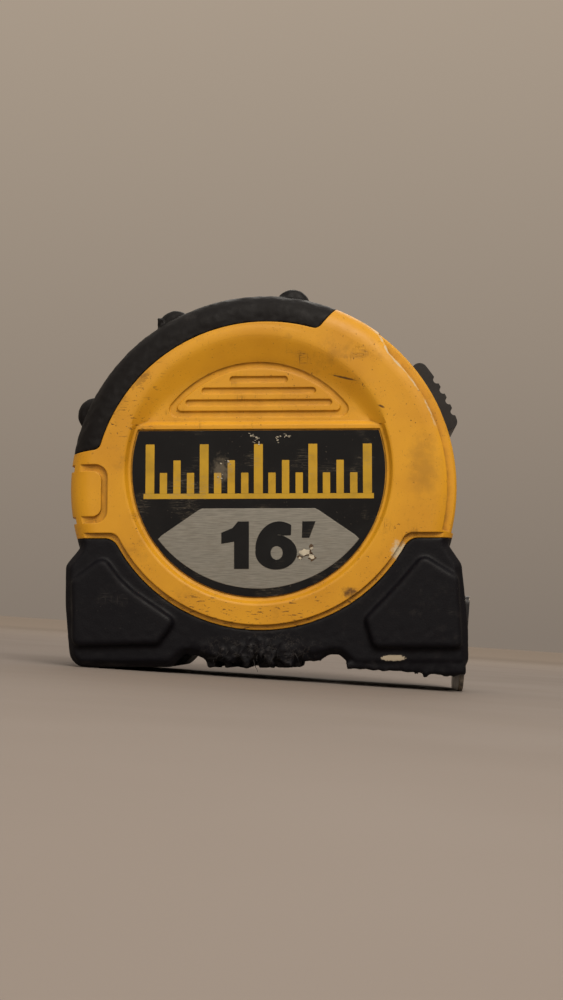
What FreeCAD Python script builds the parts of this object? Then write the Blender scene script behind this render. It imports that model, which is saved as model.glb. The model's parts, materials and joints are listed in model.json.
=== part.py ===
import FreeCAD, Part
import math
import os

from FreeCAD import Vector

# A pocket tape measure standing on its base. +X points out of the blade's mouth, +Z is up and
# +Y is the belt-clip side. The origin is on the base plane, at the middle of the base.
# All lengths are millimetres, and angles are degrees about the reel's axis, from +X towards +Z.

# ---- case ----
CASE_R = 37.4            # round body's radius
REEL_Z = 34.4            # height of the reel's axis, which is also the round body's centre
FACE_Y = 20.4            # half width at the flat outer ring of each face
RIM_ROUND = 4.5          # rounding between face and rim
BOOT_Y = 19.6            # half width at the rubber boots and at the ledge beside them
BOOT_CHAMFER = 1.3
PAD_Y = 20.9             # half width at the raised corner pads
RUBBER = 1.6             # thickness of the moulded-on rubber
CORE_Y = 18.2            # half width of the plastic under the rubber
CAVITY_R = 33.6
CAVITY_Y = 15.6
CAVITY_FLOOR = 4.6
BELLY_Z = 1.3            # underside between the feet, before its ribs
DISC_TRIM_Z = 5.0        # the round body stops here, inside the foot block

# ---- face details ----
DISH_X, DISH_Z = -0.9, 37.5
DISH_R = 25.9            # where the dish leaves the flat ring
DISH_EASE = 0.12         # small bevels at the foot and the top of the dish's wall
LABEL_R = 24.2
LABEL_TOP_Z = 45.1       # chord that cuts the round label off
LABEL_Y = 19.2           # level of the label's plateau
LABEL_POCKET = 0.35
LABEL_T = 0.3
THUMB_Y = 18.5           # level of the thumb rest's floor
THUMB_DROP = 5.0         # how far the floor's outline sits below the dish's
THUMB_Z = 46.2           # where the floor begins, above the label
GROOVE_R = 21.0          # arc of the D-shaped groove's middle line
GROOVE_Z = 36.9          # that arc's centre
GROOVE_W = 1.25
GROOVE_DEPTH = 0.38
GROOVE_CHORD_Z = 48.4
DISC_X, DISC_Z, DISC_R = -0.4, 38.4, 31.35   # lower edge of the yellow face
LEDGE = 0.95             # width of the ledge between the raised face and the rubber
BOOT_TOP_Z = 24.5
STRIP_R = 36.9           # front strip that the lock runs on
STRIP_INNER_R = 35.0
STRIP_Y = 18.6
STRIP_ANGLES = (-14.0, 53.0)
STRIP_TAPER_ANGLE = 46.5 # from here up the strip's inner edge runs out to the rim
GRIP_X, GRIP_Z, GRIP_R = 0.5, 33.1, 32.9     # inner edge of the top grip
BUMP_ANGLES = (81.2, 118.8, 156.4)
BUMP_R, BUMP_OUT, BUMP_Y = 3.4, 2.1, 16.0
BUMP_ROUND = 1.6
THUMB_SLOTS = ((50.6, 14.1), (52.9, 11.0), (55.1, 5.6))      # height and half length of each
PAD_CHAMFER = 0.6
RIB_PITCH, RIB_W = 3.3, 1.6

# ---- reel, blade and spring ----
BLADE_W = 28.6           # a blade 1 1/8 inch wide
BLADE_T = 0.15
COIL_PITCH = 0.20
COIL_IN_R = 20.35
COIL_TURNS = 34
BLADE_Z = 7.0            # underside of the blade where it leaves the coil
DRUM_R = 20.2
DRUM_IN_R = 18.9
DRUM_Y = 14.5
DRUM_WALL = 1.3
DRUM_HOLES, DRUM_HOLE_R, DRUM_HOLE_PITCH_R = 6, 2.4, 12.0
ARBOR_R = 4.0
ARBOR_PLAY = 0.06
ARBOR_SQUARE = 5.0       # width of the square ends that sit in the shells
SPRING_SLOT = 0.5        # width of the slot that takes the spring's inner end
SPRING_T = 0.2
SPRING_Y = 12.2

# ---- blade end and hook ----
MOUTH_Z = 6.2            # underside of the cupped blade at the mouth
MOUTH_TOP_Z = 11.4       # top of the channel that the blade leaves by
CUP = 3.0                # how far the cupped blade's edges rise
TIP_X0, TIP_X1 = 24.0, 37.6
TIP_CLIP = 3.0           # size of the blade's clipped corners
HOOK_T = 0.9
HOOK_X = 38.2            # back of the hook's plate, level with the blade
HOOK_TOP_Z, HOOK_LOW_Z = 13.7, -4.7
HOOK_HALF_W, HOOK_LOW_HALF_W = 12.2, 10.4
HOOK_LEAN = 4.5          # the plate's top leans out by this angle
HOOK_PLAY = 0.9          # how far the hook slides on its rivets: its own thickness
HOOK_RECESS = 1.1        # depth of the recess behind the plate
TONGUE_HALF_W = 7.4
TONGUE_GAP = 0.05        # between the blade and the hook's tongue
NAIL_R, NAIL_Z = 1.6, 0.4
CHANNEL_X = 14.0         # the channel to the mouth starts here
CHANNEL_HALF_W = BLADE_W / 2 + 0.65
CRADLE_FRONT_X, CRADLE_TOP_Z = 37.0, 10.0
CRADLE_DROP = 0.95       # the wear plate's tail and slot lie this far below the blade
CRADLE_SLOT, CRADLE_TAIL = 6.6, 7.6      # half widths
BUMPER_Y = (8.2, 12.6)
BUMPER_EAR_Z, BUMPER_LIP_Z = (11.6, 14.0), (0.4, 4.4)
BUMPER_EAR_GAP, BUMPER_LIP_GAP = 0.25, 0.65      # to the back of the hook's plate, at the blade's level
RIVET_R = 1.15
RIVET_HEAD_R, RIVET_FOOT_R = 1.9, 1.6
RIVETS = ((29.4, -4.2), (29.4, 4.2), (34.2, -4.2), (34.2, 4.2))

# ---- lock ----
LOCK_ANGLES = (18.3, 40.4)
LOCK_OUT_R = 40.3
LOCK_NOTCHES = (22.9, 26.3, 29.7, 33.1)
NOTCH_R = 0.8
LOCK_Y = 8.5
STEM_ANGLES = (20.0, 35.0)
STEM_Y = 2.0
LOCK_TRAVEL = 18.0
ARM_R = (30.5, 32.3)
ARM_ANGLES = (-35.0, 34.5)
ARM_Y = 7.0

# ---- screws and clip ----
SCREWS = ((-31.5, 10.0), (33.4, 16.2), (-29.4, 42.7), (19.2, 58.2))
SCREW_R = 1.2
SCREW_HEAD_R, SCREW_HEAD_T = 2.0, 1.2
HEAD_SEAT_Y = 16.4
SCREW_TIP_Y = -9.0
BOSS_R = 2.5
CLIP_W, CLIP_T = 15.0, 1.1
CLIP_GAP = 4.5           # between the clip and the case's ring
CLIP_FOOT_R = 1.5        # hole in the clip for its screw
CLIP_SCREW_Z = 55.0
CLIP_SCREW_HEAD_R, CLIP_SCREW_HEAD_T = 3.0, 1.3
CLIP_SCREW_R, CLIP_SCREW_LENGTH = 1.3, 4.2
RECESS_W = 0.55          # width of the screws' cross recess

BIG = 60.0


def cylinder(x, z, radius, y0, y1):
    """A cylinder along Y."""
    return Part.makeCylinder(radius, y1 - y0, Vector(x, y0, z), Vector(0, 1, 0))


def box(x0, x1, y0, y1, z0, z1):
    return Part.makeBox(x1 - x0, y1 - y0, z1 - z0, Vector(x0, y0, z0))


def polar(radius, angle, y=0.0):
    """A point at this radius and angle about the reel's axis."""
    a = math.radians(angle)
    return Vector(radius * math.cos(a), y, REEL_Z + radius * math.sin(a))


def outline(corners):
    """A closed wire in the XZ plane through (x, z, rounding) corners, each rounded by a tangent arc."""
    points = [Vector(x, 0, z) for x, z, _ in corners]
    ends = []
    for i, (_, _, r) in enumerate(corners):
        here, before, after = points[i], points[i - 1], points[(i + 1) % len(points)]
        to_before = (before - here).normalize()
        to_after = (after - here).normalize()
        half = to_before.getAngle(to_after) / 2
        if r == 0 or abs(half - math.pi / 2) < 1e-6:
            ends.append((here, None, here))
            continue
        reach = r / math.tan(half)
        middle = (to_before + to_after).normalize() * (r / math.sin(half) - r)
        ends.append((here + to_before * reach, here + middle, here + to_after * reach))
    edges = []
    for i, (start, middle, end) in enumerate(ends):
        if middle is not None:
            edges.append(Part.Arc(start, middle, end).toShape())
        following = ends[(i + 1) % len(ends)][0]
        if end.distanceToPoint(following) > 1e-6:
            edges.append(Part.LineSegment(end, following).toShape())
    return Part.Wire(edges)


def prism(wire, y0, y1):
    """The solid that a wire in the XZ plane sweeps from y0 to y1."""
    face = Part.Face(wire)
    face.translate(Vector(0, y0, 0))
    return face.extrude(Vector(0, y1 - y0, 0))


def prism_yz(corners, x0, x1):
    """The solid that a polygon of (y, z) corners sweeps from x0 to x1."""
    points = [Vector(x0, y, z) for y, z in corners]
    return Part.Face(Part.makePolygon(points + points[:1])).extrude(Vector(x1 - x0, 0, 0))


def revolved(x, z, profile):
    """A solid of revolution about the Y axis line through (x, z), from (radius, y) corners."""
    points = [Vector(x + r, y, z) for r, y in profile]
    face = Part.Face(Part.makePolygon(points + points[:1]))
    return face.revolve(Vector(x, 0, z), Vector(0, 1, 0), 360)


def ring_sector(r0, r1, a0, a1, y0, y1):
    """Part of a ring about the reel's axis, between two angles."""
    middle = (a0 + a1) / 2
    wire = Part.Wire([
        Part.Arc(polar(r1, a0), polar(r1, middle), polar(r1, a1)).toShape(),
        Part.LineSegment(polar(r1, a1), polar(r0, a1)).toShape(),
        Part.Arc(polar(r0, a1), polar(r0, middle), polar(r0, a0)).toShape(),
        Part.LineSegment(polar(r0, a0), polar(r1, a0)).toShape(),
    ])
    return prism(wire, y0, y1)


def fillet_corners(solid, radius, *corners):
    """Rounds the edges along Y that stand nearest to these (x, z) corners."""
    upright = [e for e in solid.Edges if abs(e.tangentAt(e.FirstParameter).y) > 0.99]
    chosen = []
    for x, z in corners:
        chosen.append(min(upright, key=lambda e: math.hypot(e.CenterOfMass.x - x, e.CenterOfMass.z - z)))
    return solid.makeFillet(radius, chosen)


def edges_at(solid, y):
    """The edges that lie in the plane at this y."""
    return [e for e in solid.Edges if abs(e.BoundBox.YMin - y) < 1e-4 and abs(e.BoundBox.YMax - y) < 1e-4]


def mirrored(shape):
    """The same shape on the other side of the case's middle plane."""
    return shape.mirror(Vector(0, 0, 0), Vector(0, 1, 0))


def slot_prism(x0, x1, z, width, y0, y1):
    """A round-ended slot along X."""
    r = width / 2
    wire = Part.Wire([
        Part.LineSegment(Vector(x0 + r, 0, z - r), Vector(x1 - r, 0, z - r)).toShape(),
        Part.Arc(Vector(x1 - r, 0, z - r), Vector(x1, 0, z), Vector(x1 - r, 0, z + r)).toShape(),
        Part.LineSegment(Vector(x1 - r, 0, z + r), Vector(x0 + r, 0, z + r)).toShape(),
        Part.Arc(Vector(x0 + r, 0, z + r), Vector(x0, 0, z), Vector(x0 + r, 0, z - r)).toShape(),
    ])
    return prism(wire, y0, y1)


# ---------------------------------------------------------------- the case, one half at a time

FOOT_CORNERS = (
    (35.1, 30.0, 0), (35.15, 23.3, 1.2), (37.7, 19.5, 1.8), (38.8, 8.0, 40.0), (38.8, 0.0, 1.7),
    (17.0, 0.0, 1.6), (14.5, BELLY_Z + 1.1, 1.2), (12.7, BELLY_Z + 1.1, 1.6), (10.3, BELLY_Z, 2.0),
    (-10.4, BELLY_Z, 2.0), (-13.0, BELLY_Z + 1.1, 1.6), (-15.0, BELLY_Z + 1.1, 1.2),
    (-17.4, 0.0, 1.6), (-36.8, 0.0, 3.2), (-37.9, 12.0, 30.0), (-37.9, 19.4, 2.0),
    (-35.1, 22.8, 1.6), (-35.1, 30.0, 0),
)


def foot_block(inset, width, chamfer):
    """The lower body with its two feet, drawn in by inset all round."""
    wire = outline(FOOT_CORNERS)
    if inset:
        wire = wire.makeOffset2D(-inset)
    block = prism(wire, 0, width)
    return block.makeChamfer(chamfer, edges_at(block, width)) if chamfer else block


def rounded_disc(radius, width, rounding):
    """The round body, down to where the foot block takes over."""
    disc = cylinder(0, REEL_Z, radius, 0, width)
    disc = disc.makeFillet(rounding, edges_at(disc, width))
    return disc.common(box(-BIG, BIG, -1, BIG, DISC_TRIM_Z, BIG * 2))


def boot_region(grown):
    """Everything below the yellow face, grown by this much towards it."""
    top = BOOT_TOP_Z + grown
    radius = DISC_R - grown
    half = math.sqrt(radius ** 2 - (DISC_Z - top) ** 2)
    region = box(-BIG, BIG, 0, BIG, -BIG, top).cut(cylinder(DISC_X, DISC_Z, radius, -1, BIG + 1))
    return fillet_corners(region, 3.0 - grown, (DISC_X - half, top), (DISC_X + half, top))


def grip_region():
    """The band over the top and back that the top grip covers."""
    corners = ((-BIG, 37.4, 0), (-25.0, 42.4, 0), (6.0, 59.0, 0), (27.0, 84.5, 0), (-BIG, 84.5, 0))
    region = prism(outline(corners), 0, BIG).cut(cylinder(GRIP_X, GRIP_Z, GRIP_R, -1, BIG + 1))
    return fillet_corners(region, 1.6, (-31.2, 41.6), (10.6, 64.4))


def strip_recess():
    """What is cut away beside the front strip. Its upper end tapers out to the rim."""
    start = STRIP_ANGLES[0]
    end = STRIP_TAPER_ANGLE
    far = CASE_R + 5
    wire = Part.Wire([
        Part.Arc(polar(STRIP_INNER_R, start), polar(STRIP_INNER_R, (start + end) / 2),
                 polar(STRIP_INNER_R, end)).toShape(),
        Part.LineSegment(polar(STRIP_INNER_R, end), polar(CASE_R + 0.5, STRIP_ANGLES[1] + 1)).toShape(),
        Part.LineSegment(polar(CASE_R + 0.5, STRIP_ANGLES[1] + 1), polar(far, STRIP_ANGLES[1])).toShape(),
        Part.Arc(polar(far, STRIP_ANGLES[1]), polar(far, end / 2), polar(far, start)).toShape(),
        Part.LineSegment(polar(far, start), polar(STRIP_INNER_R, start)).toShape(),
    ])
    return prism(wire, STRIP_Y, BIG)


def half_body():
    """One half of the case as a single solid, rubber and plastic together."""
    body = rounded_disc(CASE_R, FACE_Y, RIM_ROUND).fuse(foot_block(0, BOOT_Y, BOOT_CHAMFER))
    ledge = boot_region(LEDGE).common(box(-BIG, BIG, BOOT_Y, BIG, -BIG, BIG))
    strip = ring_sector(STRIP_INNER_R - 2, STRIP_R, *STRIP_ANGLES, 0, STRIP_Y)
    strip = strip.makeFillet(0.8, [e for e in edges_at(strip, STRIP_Y) if e.Length > 30])
    outside_strip = ring_sector(STRIP_R, CASE_R + 5, *STRIP_ANGLES, -1, BIG)
    return body.cut(ledge).cut(strip_recess()).cut(outside_strip).fuse(strip).removeSplitter()


def core():
    """The plastic that lies under the rubber."""
    return rounded_disc(CASE_R - RUBBER, CORE_Y, RIM_ROUND - RUBBER).fuse(foot_block(RUBBER, CORE_Y, 0))


def rear_pad():
    """The raised pad behind, and the recess round it."""
    recess = outline(((-BIG, 38.6, 0), (-29.7, 38.6, 2.4), (-29.7, 27.3, 2.4), (-BIG, 27.3, 0)))
    pad = outline(((-BIG, 37.3, 0), (-30.9, 37.3, 1.7), (-30.9, 28.6, 1.7), (-BIG, 28.6, 0)))
    return prism(recess, -1, BIG).cut(prism(pad, -2, BIG + 1))


def dish_cut(top_z=BIG * 2):
    """The round dish that the label lies in, with a narrow sloping wall, up to this height."""
    wall = ((0, LABEL_Y), (LABEL_R + 0.5, LABEL_Y), (LABEL_R + 0.8, LABEL_Y + DISH_EASE),
            (DISH_R - 0.35, FACE_Y - DISH_EASE), (DISH_R, FACE_Y), (DISH_R, BIG), (0, BIG))
    return revolved(DISH_X, DISH_Z, wall).common(box(-BIG, BIG, 0, BIG, -BIG, top_z))


def thumb_cut():
    """The thumb rest above the label. Its wall is a crescent, widest at the top."""
    def circle(y, z, radius):
        return Part.Wire([Part.Circle(Vector(DISH_X, y, z), Vector(0, 1, 0), radius).toShape()])

    floor = circle(THUMB_Y, DISH_Z - THUMB_DROP, DISH_R)
    rim = circle(FACE_Y, DISH_Z, DISH_R)
    bowl = Part.makeLoft([floor, rim], True, True).fuse(cylinder(DISH_X, DISH_Z, DISH_R, FACE_Y - 0.01, BIG))
    above = prism_yz([(THUMB_Y - 1, THUMB_Z + 0.8), (THUMB_Y, THUMB_Z + 0.8), (LABEL_Y, THUMB_Z),
                      (BIG, THUMB_Z), (BIG, BIG * 2), (THUMB_Y - 1, BIG * 2)], -BIG, BIG)
    return bowl.common(above)


def d_groove():
    """A groove along a D: an arc closed by a straight run below it."""
    bottom = THUMB_Y - GROOVE_DEPTH

    def d_shape(radius, chord, rounding):
        half = math.sqrt(radius ** 2 - (chord - GROOVE_Z) ** 2)
        left, right = Vector(DISH_X - half, 0, chord), Vector(DISH_X + half, 0, chord)
        top = Vector(DISH_X, 0, GROOVE_Z + radius)
        wire = Part.Wire([Part.Arc(left, top, right).toShape(), Part.LineSegment(right, left).toShape()])
        solid = prism(wire, bottom, FACE_Y)
        return fillet_corners(solid, rounding, (left.x, left.z), (right.x, right.z))

    w = GROOVE_W / 2
    outer = d_shape(GROOVE_R + w, GROOVE_CHORD_Z - w, 1.6)
    inner = d_shape(GROOVE_R - w, GROOVE_CHORD_Z + w, 0.7)
    groove = outer.cut(inner)
    return groove.makeFillet(0.3, edges_at(groove, bottom))


def thumb_slots():
    """Three short grooves across the inside of the D."""
    slots = []
    for z, half in THUMB_SLOTS:
        slot = slot_prism(DISH_X - half, DISH_X + half, z, GROOVE_W, THUMB_Y - GROOVE_DEPTH, FACE_Y)
        slots.append(slot.makeFillet(0.3, edges_at(slot, THUMB_Y - GROOVE_DEPTH)))
    return slots


def label_shape(radius, top_z, y0, y1):
    return cylinder(DISH_X, DISH_Z, radius, y0, y1).common(box(-BIG, BIG, y0, y1, -BIG, top_z))


def foot_pockets():
    """Hollows inside the feet, open to the case's parting plane."""
    rear = outline(((-34.2, 15.5, 1), (-31.8, 18.0, 1), (-25.2, 8.5, 1), (-20.2, 4.0, 1),
                    (-20.2, 3.2, 0.3), (-34.2, 3.2, 1)))
    front = outline(((30.8, 13.0, 0.5), (34.2, 13.0, 0.5), (34.2, 18.4, 1), (31.6, 20.6, 0.5)))
    return [prism(rear, -1, CAVITY_Y), prism(front, -1, CAVITY_Y)]


def mouth_cuts():
    """The channel that the blade leaves by, and the recess that the hook's plate rests in."""
    return [box(CHANNEL_X, BIG, -1, CHANNEL_HALF_W, CAVITY_FLOOR, MOUTH_TOP_Z),
            box(HOOK_X - HOOK_RECESS, BIG, -1, HOOK_HALF_W + 1, -5.0, HOOK_TOP_Z + 1.2)]


def half_shell():
    """What both plastic shells share, on the +Y side."""
    shell = half_body().cut(boot_region(0)).cut(grip_region()).fuse(core())
    ring_cut = cylinder(0, REEL_Z, CASE_R - 0.9, -1, BIG)
    shell = shell.cut(rear_pad().cut(ring_cut))
    shell = shell.cut(rear_pad().common(box(-BIG, 0, FACE_Y - 0.7, BIG, 0, BIG)))
    cavity = cylinder(0, REEL_Z, CAVITY_R, -1, CAVITY_Y)
    shell = shell.cut(cavity.common(box(-BIG, BIG, -1, BIG, CAVITY_FLOOR, BIG * 2)))
    for pocket in foot_pockets():
        shell = shell.cut(pocket)
    for x, z in SCREWS:
        shell = shell.fuse(cylinder(x, z, BOSS_R, 0, CAVITY_Y + 0.5))
    for tool in mouth_cuts():
        shell = shell.cut(tool)
    slot = ring_sector(CAVITY_R - 1, CASE_R + 2, STEM_ANGLES[0] - LOCK_TRAVEL - 1, STEM_ANGLES[1] + 1,
                       -1, STEM_Y + 0.2)
    half = ARBOR_SQUARE / 2 + 0.1
    socket = box(-half, half, CAVITY_Y - 1, CAVITY_Y + 1.6, REEL_Z - half, REEL_Z + half)
    return shell.cut(slot).cut(socket)


def case_shell_right():
    """The shell on the label side, with the thumb rest. Its screw holes are blind."""
    shell = half_shell().cut(dish_cut(THUMB_Z + 0.1)).cut(thumb_cut()).cut(d_groove())
    for slot in thumb_slots():
        shell = shell.cut(slot)
    shell = shell.cut(label_shape(LABEL_R + 0.3, LABEL_TOP_Z + 0.3, LABEL_Y - LABEL_POCKET, FACE_Y))
    for x, z in SCREWS:
        shell = shell.cut(cylinder(x, z, SCREW_R + 0.05, -1, -SCREW_TIP_Y + 1))
    return mirrored(shell.removeSplitter())


def screw_ways():
    """The stepped holes that the case screws go through, on the clip side."""
    ways = []
    for x, z in SCREWS:
        ways.append(cylinder(x, z, SCREW_R + 0.15, -1, HEAD_SEAT_Y + 1))
        ways.append(cylinder(x, z, SCREW_HEAD_R + 0.2, HEAD_SEAT_Y, BIG))
    return ways


def case_shell_left():
    """The shell on the clip side."""
    shell = half_shell().cut(dish_cut())
    shell = shell.cut(label_shape(LABEL_R + 0.3, LABEL_TOP_Z + 0.3, LABEL_Y - LABEL_POCKET, FACE_Y))
    for way in screw_ways():
        shell = shell.cut(way)
    return shell.cut(cylinder(0, CLIP_SCREW_Z, 1.35, 0, BIG)).removeSplitter()


def corner_pads():
    """The raised pads on the outside of the two feet."""
    rear = outline(((-36.5, 16.4, 1.2), (-30.4, 21.0, 1.6), (-26.1, 15.4, 20.0), (-16.4, 8.8, 1.4),
                    (-19.7, 4.2, 1.6), (-36.2, 3.9, 1.6)))
    front = outline(((37.0, 17.0, 1.2), (30.3, 21.2, 1.6), (25.6, 15.8, 20.0), (19.2, 9.1, 1.2),
                     (20.8, 3.6, 1.6), (37.5, 3.6, 1.2)))
    pads = [prism(wire, BOOT_Y - 0.3, PAD_Y) for wire in (rear, front)]
    return [pad.makeChamfer(PAD_CHAMFER, edges_at(pad, PAD_Y)) for pad in pads]


def belly_ribs():
    """Grip ribs across the belly. Their flat tips are level with the feet."""
    ribs = []
    for i in range(-3, 4):
        x = RIB_PITCH * i
        ribs.append(box(x - RIB_W / 2, x + RIB_W / 2, 0, BOOT_Y - 2.2, 0, BELLY_Z + 0.2))
    return ribs


def boot():
    """The rubber boot round one half's feet and belly, on the +Y side."""
    rubber = half_body().common(boot_region(0)).cut(core())
    for extra in corner_pads() + belly_ribs():
        rubber = rubber.fuse(extra)
    for tool in mouth_cuts():
        rubber = rubber.cut(tool)
    return rubber.removeSplitter()


def boot_left():
    rubber = boot()
    for way in screw_ways():
        rubber = rubber.cut(way)
    return rubber.removeSplitter()


def top_grip():
    """The rubber over the top and back of one half, with half of each bump."""
    rubber = half_body().common(grip_region()).cut(core())
    for angle in BUMP_ANGLES:
        centre = polar(CASE_R + BUMP_OUT - BUMP_R, angle)
        bump = cylinder(centre.x, centre.z, BUMP_R, 0, BUMP_Y)
        bump = bump.makeFillet(BUMP_ROUND, edges_at(bump, BUMP_Y))
        bump = bump.cut(cylinder(0, REEL_Z, CASE_R - 0.6, -1, BIG))
        rubber = rubber.fuse(bump)
    return rubber.removeSplitter()


def label(side):
    plate = label_shape(LABEL_R, LABEL_TOP_Z, LABEL_Y - LABEL_POCKET, LABEL_Y - LABEL_POCKET + LABEL_T)
    return plate if side > 0 else mirrored(plate)


# ---------------------------------------------------------------- reel, spring and blade

def spiral_strip(radii, thickness, y0, y1, last_quarter=False):
    """A strip wound in half turns about the reel's axis. Each half turn is an arc of one radius, and
    the arc's centre steps along X so that the halves stay tangent. With last_quarter, the last half
    turn stops at the bottom."""
    centres, x = [], 0.0
    for i, r in enumerate(radii):
        if i:
            x += (r - radii[i - 1]) * (1 if i % 2 else -1)
        centres.append(x)

    def arcs(grow):
        made = []
        for i, (cx, r) in enumerate(zip(centres, radii)):
            start = 0 if i % 2 == 0 else 180
            sweep = 90 if last_quarter and i == len(radii) - 1 else 180

            def at(angle):
                a = math.radians(angle)
                return Vector(cx + (r + grow) * math.cos(a), 0, REEL_Z + (r + grow) * math.sin(a))

            made.append((at(start), at(start + sweep / 2), at(start + sweep)))
        return made

    inner, outer = arcs(0), arcs(thickness)
    edges = [Part.Arc(*a).toShape() for a in inner]
    edges.append(Part.LineSegment(inner[-1][2], outer[-1][2]).toShape())
    edges += [Part.Arc(c, b, a).toShape() for a, b, c in reversed(outer)]
    edges.append(Part.LineSegment(outer[0][0], inner[0][0]).toShape())
    return prism(Part.Wire(edges), y0, y1)


def blade_coil():
    """The blade wound on the drum."""
    radii = [COIL_IN_R + COIL_PITCH / 2 * i for i in range(2 * COIL_TURNS)]
    return spiral_strip(radii, BLADE_T, -BLADE_W / 2, BLADE_W / 2, last_quarter=True)


def mainspring():
    """The spring with the blade wound in: most turns lie against the drum and a few cross to the arbor."""
    steps = [1.35] * 6 + [0.9] * 2 + [0.175] * 24
    radii = [ARBOR_R + 0.3 + sum(steps[:i]) for i in range(len(steps) + 1)]
    spring = spiral_strip(radii, SPRING_T, -SPRING_Y, SPRING_Y)
    tab = box(1.2, ARBOR_R + 0.3 + SPRING_T, -SPRING_Y, SPRING_Y, REEL_Z - 0.1, REEL_Z + 0.1)
    return spring.fuse(tab).removeSplitter()


def drum():
    """The reel's rim with one closed side."""
    rim = cylinder(0, REEL_Z, DRUM_R, -DRUM_Y, DRUM_Y)
    rim = rim.cut(cylinder(0, REEL_Z, DRUM_IN_R, -DRUM_Y - 1, DRUM_Y - DRUM_WALL))
    rim = rim.cut(cylinder(0, REEL_Z, ARBOR_R + ARBOR_PLAY, -BIG, BIG))
    blade_way = box(DRUM_IN_R - 1, DRUM_R + 1, -DRUM_Y - 1, BLADE_W / 2 - 6, REEL_Z - 1.6, REEL_Z - 0.4)
    for i in range(DRUM_HOLES):
        hole = polar(DRUM_HOLE_PITCH_R, 360 / DRUM_HOLES * (i + 0.5))
        rim = rim.cut(cylinder(hole.x, hole.z, DRUM_HOLE_R, 0, BIG))
    return rim.cut(blade_way)


def drum_cover():
    """The disc that closes the spring in."""
    disc = cylinder(0, REEL_Z, DRUM_IN_R - 0.03, -DRUM_Y, -DRUM_Y + DRUM_WALL)
    return disc.cut(cylinder(0, REEL_Z, ARBOR_R + ARBOR_PLAY, -BIG, BIG))


def spring_arbor():
    """The fixed post: round where the reel turns, square where it sits in the shells."""
    end = CAVITY_Y + 1.5
    side = ARBOR_SQUARE / 2
    gap = SPRING_SLOT / 2
    post = cylinder(0, REEL_Z, ARBOR_R, -CAVITY_Y + 0.1, CAVITY_Y - 0.1)
    post = post.fuse(box(-side, side, -end, end, REEL_Z - side, REEL_Z + side))
    return post.cut(box(0.9, BIG, -SPRING_Y - 0.2, SPRING_Y + 0.2, REEL_Z - gap, REEL_Z + gap))


def cup_radius():
    half = BLADE_W / 2
    return half ** 2 / (2 * CUP) + CUP / 2


def cupped_section(x, offset, thickness, half_width, rise=1.0):
    """A closed wire across the cupped blade at x. rise 0 is flat, and 1 is the full cup."""
    if rise == 0:
        z = BLADE_Z + offset
        return Part.makePolygon([
            Vector(x, -half_width, z), Vector(x, half_width, z),
            Vector(x, half_width, z + thickness), Vector(x, -half_width, z + thickness),
            Vector(x, -half_width, z)])
    centre_z = MOUTH_Z + cup_radius()

    def point(radius, y):
        return Vector(x, y, centre_z - math.sqrt(radius ** 2 - y ** 2))

    low, high = cup_radius() - offset, cup_radius() - offset - thickness
    return Part.Wire([
        Part.Arc(point(low, -half_width), point(low, 0), point(low, half_width)).toShape(),
        Part.LineSegment(point(low, half_width), point(high, half_width)).toShape(),
        Part.Arc(point(high, half_width), point(high, 0), point(high, -half_width)).toShape(),
        Part.LineSegment(point(high, -half_width), point(low, -half_width)).toShape(),
    ])


def cupped_plate(x0, x1, offset, thickness, half_width):
    return Part.Face(cupped_section(x0, offset, thickness, half_width)).extrude(Vector(x1 - x0, 0, 0))


def blade_run():
    """The blade between the coil and its end: flat where it leaves the coil, cupped at the mouth."""
    flat = cupped_section(0.4, 0, BLADE_T, BLADE_W / 2, rise=0)
    cupped = cupped_section(TIP_X0, 0, BLADE_T, BLADE_W / 2)
    return Part.makeLoft([flat, cupped], True, True)


def blade_tip():
    """The blade's last stretch, with clipped corners and a hole for each rivet."""
    tip = cupped_plate(TIP_X0, TIP_X1, 0, BLADE_T, BLADE_W / 2)
    for side in (-1, 1):
        edge = side * (BLADE_W / 2 + 1)
        corner = Part.makePolygon([
            Vector(TIP_X1 - TIP_CLIP, edge, 0), Vector(TIP_X1 + 1, edge, 0),
            Vector(TIP_X1 + 1, side * (BLADE_W / 2 - TIP_CLIP), 0), Vector(TIP_X1 - TIP_CLIP, edge, 0)])
        tip = tip.cut(Part.Face(corner).extrude(Vector(0, 0, 20)))
    for x, y in RIVETS:
        tip = tip.cut(Part.makeCylinder(RIVET_R, 20, Vector(x, y, 0)))
    return tip


def blade_height(y, offset):
    """Height of the cupped blade's surface, offset up from its underside, this far from the middle."""
    radius = cup_radius() - offset
    return MOUTH_Z + cup_radius() - math.sqrt(radius ** 2 - y ** 2)


def hook_rivets():
    """Four rivets: a low head under the blade and a wider one over the hook's tongue."""
    rivets = []
    for x, y in RIVETS:
        low = blade_height(y, 0) - 0.35
        high = blade_height(y, BLADE_T + HOOK_T) + 0.3
        shank = Part.makeCylinder(RIVET_R - 0.05, high - low, Vector(x, y, low))
        head = Part.makeCylinder(RIVET_HEAD_R, 0.6, Vector(x, y, high))
        head = head.makeFillet(0.45, [e for e in head.Edges if e.BoundBox.ZMin > high + 0.5])
        foot = Part.makeCylinder(RIVET_FOOT_R, 0.3, Vector(x, y, low - 0.2))
        rivets.append(shank.fuse(head).fuse(foot).removeSplitter())
    return Part.makeCompound(rivets)


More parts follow.
